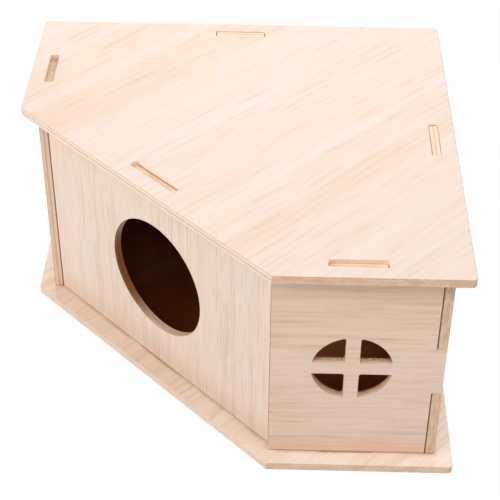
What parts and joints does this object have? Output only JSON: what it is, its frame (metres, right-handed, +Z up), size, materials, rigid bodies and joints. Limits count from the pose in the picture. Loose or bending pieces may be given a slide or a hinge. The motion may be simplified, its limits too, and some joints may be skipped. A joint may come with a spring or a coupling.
{
  "type": "hamster house",
  "caption": "Corner hamster house of slotted plywood sheets, with a round entrance in the angled wall, a round cross window and an overhanging roof that lifts off.",
  "frame": {"origin": "on the underside of the floor, at the centre of the square that the corner plan is cut from", "axes": "+Z up; the window wall faces -Y, the right wall faces +X, the entrance wall faces -X and -Y at 45 degrees"},
  "size_m": [0.2012, 0.2012, 0.112],
  "materials": {
    "plywood": "sanded, unfinished pale plywood with a darker core"
  },
  "bodies": {
    "house": {"floor_panel": "plywood", "window_wall": "plywood", "right_wall": "plywood", "back_wall": "plywood", "left_wall": "plywood", "entrance_wall": "plywood"},
    "roof": {"roof_panel": "plywood"}
  },
  "joints": [
    {"name": "roof_lift", "type": "slide", "parent": "house", "child": "roof", "axis": [0, 0, 1], "range_m": [0, 0.06]}
  ]
}
